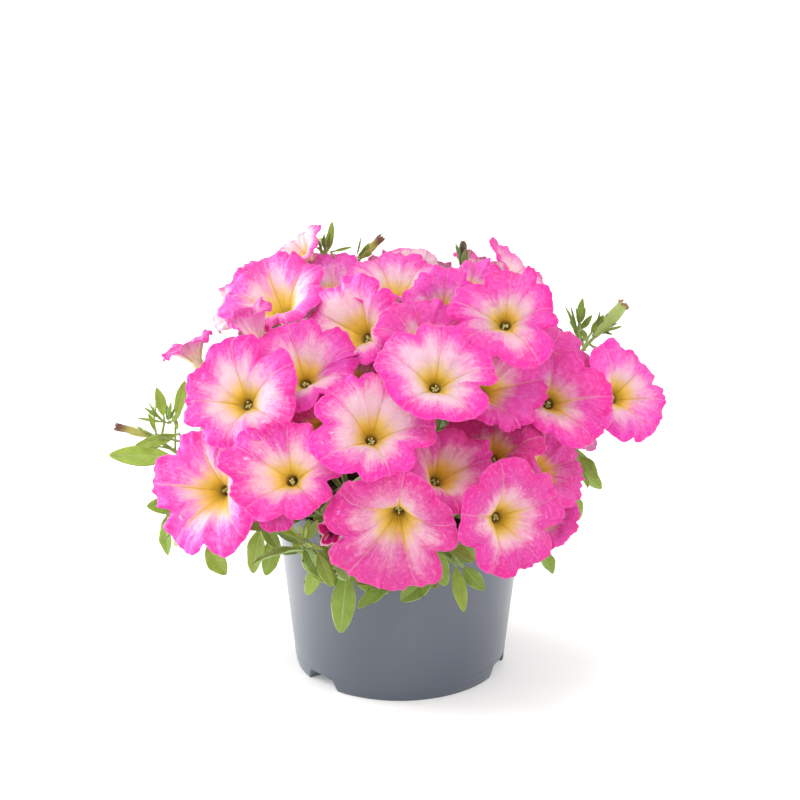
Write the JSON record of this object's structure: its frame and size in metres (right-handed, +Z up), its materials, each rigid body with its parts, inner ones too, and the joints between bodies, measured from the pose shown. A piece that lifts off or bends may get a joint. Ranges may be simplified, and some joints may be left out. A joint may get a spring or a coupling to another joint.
{
  "type": "potted petunia",
  "caption": "Bushy flowering petunia in a round tapered plastic pot, with trumpet flowers in pink, cream and yellow over leafy shoots; stands on its flat foot.",
  "frame": {"origin": "centre of the pot's round foot, on the surface that the pot stands on", "axes": "+Z up along the pot's axis; -Y towards the side of the plant that faces the viewer; +X to the viewer's right, the crown's widest direction"},
  "size_m": [0.2808, 0.2572, 0.2316],
  "materials": {
    "pot_plastic": "satin blue-grey moulded polypropylene with faint vertical scuffs",
    "soil": "moist dark crumbly potting mix of peat and bark",
    "green": "soft hairy yellow-green stems and leaves, faintly satin",
    "petal": "thin velvety petal: hot pink margin, cream middle, yellow centre and dark throat, pale outside",
    "bud_green": "closed bud, hairy green with a pinkish tip",
    "bud_spent": "withered corolla, dull brown and crinkled",
    "bud_pink": "half-open bud, dark magenta with a pale edge"
  },
  "bodies": {
    "root": {"pot": "pot_plastic", "soil": "soil", "shoot_1": "green", "shoot_2": "green", "shoot_3": "green", "shoot_4": "green", "shoot_5": "green", "shoot_6": "green", "shoot_7": "green", "shoot_8": "green", "flower_01": "petal", "flower_02": "petal", "flower_03": "petal", "flower_04": "petal", "flower_05": "petal", "flower_06": "petal", "flower_07": "petal", "flower_08": "petal", "flower_09": "petal", "flower_10": "petal", "flower_11": "petal", "flower_12": "petal", "flower_13": "petal", "flower_14": "petal", "flower_15": "petal", "flower_16": "petal", "flower_17": "petal", "flower_18": "petal", "flower_19": "petal", "flower_20": "petal", "flower_21": "petal", "flower_22": "petal", "flower_23": "petal", "flower_24": "petal", "flower_25": "petal", "flower_26": "petal", "flower_27": "petal", "flower_28": "petal", "flower_29": "petal", "flower_30": "petal", "flower_31": "petal", "flower_32": "petal", "flower_33": "petal", "flower_34": "petal", "flower_35": "petal", "flower_36": "petal", "flower_37": "petal", "flower_38": "petal", "flower_39": "petal", "flower_40": "petal", "flower_41": "petal", "flower_42": "petal", "flower_43": "petal", "flower_44": "petal", "flower_45": "petal", "flower_46": "petal", "bud_1": "bud_green", "bud_2": "bud_spent", "bud_3": "bud_spent", "bud_4": "bud_pink"}
  },
  "joints": []
}
